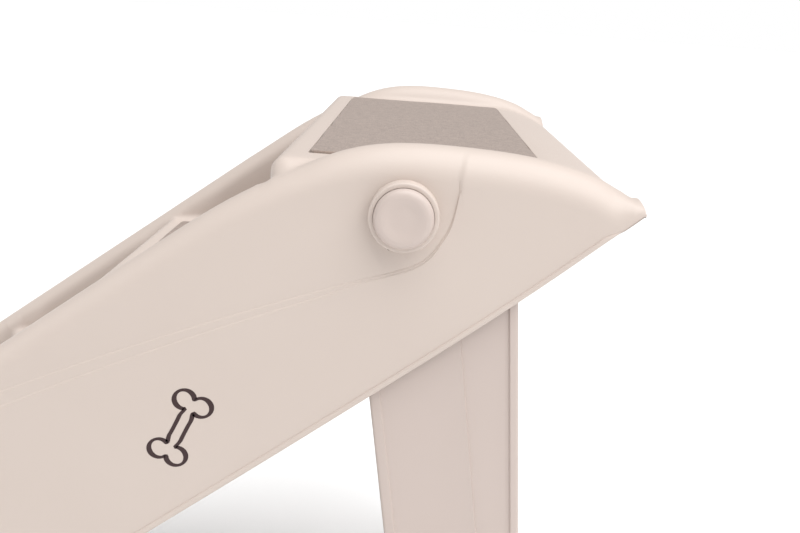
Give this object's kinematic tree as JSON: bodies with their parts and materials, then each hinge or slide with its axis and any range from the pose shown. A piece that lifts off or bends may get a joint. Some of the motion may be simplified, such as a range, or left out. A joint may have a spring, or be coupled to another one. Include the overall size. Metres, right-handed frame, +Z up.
{
  "type": "folding pet stairs",
  "caption": "Free-standing moulded pet stairs with hollow side rails, felt tread pads and a rear leg frame that folds up inside the rails on release-button hinges.",
  "frame": {"origin": "on the floor, under the middle of the object's length and width", "axes": "+X to the high rear end, +Y to the left of a pet that climbs the stairs, +Z up"},
  "size_m": [0.62, 0.425, 0.4961],
  "materials": {
    "body_plastic": "moulded polypropylene, satin, pale cream",
    "button_plastic": "moulded polypropylene, satin, a shade darker than the body",
    "leg_plastic": "moulded polypropylene, satin, pale cream",
    "tread_felt": "needle-punched felt, greige, matt",
    "foot_rubber": "matt moulded rubber",
    "steel": "zinc plated",
    "print_ink": null
  },
  "bodies": {
    "stairs": {"step_deck": "body_plastic", "side_rail_left": "body_plastic", "side_rail_right": "body_plastic", "tread_pad_1": "tread_felt", "tread_pad_2": "tread_felt", "tread_pad_3": "tread_felt", "tread_pad_4": "tread_felt", "front_foot_left": "foot_rubber", "front_foot_right": "foot_rubber", "hinge_collar_left": "body_plastic", "hinge_collar_right": "body_plastic", "retaining_ring_left": "steel", "retaining_ring_right": "steel", "button_spring_left": "steel", "button_spring_right": "steel"},
    "leg_frame": {"leg_left": "leg_plastic", "leg_right": "leg_plastic", "upper_crossbar": "leg_plastic", "lower_crossbar": "leg_plastic", "leg_foot_left": "foot_rubber", "leg_foot_right": "foot_rubber", "upper_screw_left_1": "steel", "upper_screw_left_2": "steel", "upper_screw_right_1": "steel", "upper_screw_right_2": "steel", "lower_screw_left_1": "steel", "lower_screw_left_2": "steel", "lower_screw_right_1": "steel", "lower_screw_right_2": "steel"},
    "button_left": {"release_button_left": "button_plastic", "button_clip_left": "steel"},
    "button_right": {"release_button_right": "button_plastic", "button_clip_right": "steel"}
  },
  "joints": [
    {"name": "leg_fold", "type": "hinge", "parent": "stairs", "child": "leg_frame", "pos_m": [0.195, 0, 0.464], "axis": [0, 1, 0], "range_deg": [0, 58]},
    {"name": "button_press_left", "type": "slide", "parent": "stairs", "child": "button_left", "axis": [0, -1, 0], "range_m": [0, 0.005], "stiffness_N_per_m": 600, "springref_m": -0.003, "deforming": ["button_spring_left"]},
    {"name": "button_press_right", "type": "slide", "parent": "stairs", "child": "button_right", "axis": [0, 1, 0], "range_m": [0, 0.005], "stiffness_N_per_m": 600, "springref_m": -0.003, "deforming": ["button_spring_right"]}
  ]
}
